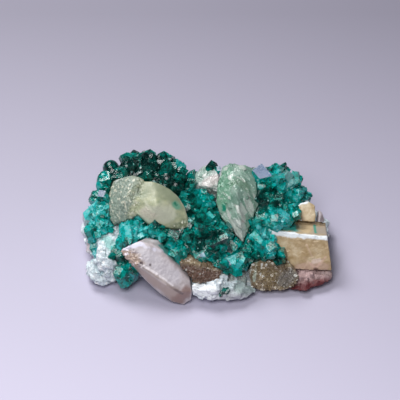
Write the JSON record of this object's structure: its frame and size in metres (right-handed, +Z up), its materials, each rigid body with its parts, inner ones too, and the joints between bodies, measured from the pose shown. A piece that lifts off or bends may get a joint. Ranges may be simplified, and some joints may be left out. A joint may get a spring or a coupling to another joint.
{
  "type": "dioptase specimen",
  "caption": "Lump of white calcite rock crusted with emerald-green dioptase crystals, with larger pale green, tan, brown and mauve calcite crystals standing in it.",
  "frame": {"origin": "under the middle of the specimen, on the flat that it rests on", "axes": "+X to the right along the long side, +Y to the back, +Z up out of the surface that it rests on"},
  "size_m": [0.0591, 0.0351, 0.0202],
  "materials": {
    "calcite_rock": "rough granular white calcite, stained rusty at the front right",
    "dioptase": "vitreous deep emerald-green crystal faces",
    "calcite_pale": "translucent pale yellow-green, waxy cleavage",
    "calcite_clear": "clear with a green cast and bright cleavage steps",
    "calcite_mauve": "frosted mauve-grey",
    "calcite_tan": "cloudy tan cleavage faces with white rims",
    "calcite_brown": "cloudy brown with white glints"
  },
  "bodies": {
    "root": {"matrix_rock": "calcite_rock", "dioptase_crust": "dioptase", "dioptase_speck": "dioptase", "calcite_left_pair": "calcite_pale", "calcite_centre": "calcite_clear", "calcite_back": "calcite_clear", "calcite_clear_front": "calcite_clear", "calcite_long_prism": "calcite_mauve", "calcite_side_tooth": "calcite_mauve", "calcite_block": "calcite_tan", "calcite_tooth": "calcite_tan", "calcite_brown_right": "calcite_brown", "calcite_brown_front": "calcite_brown"}
  },
  "joints": []
}
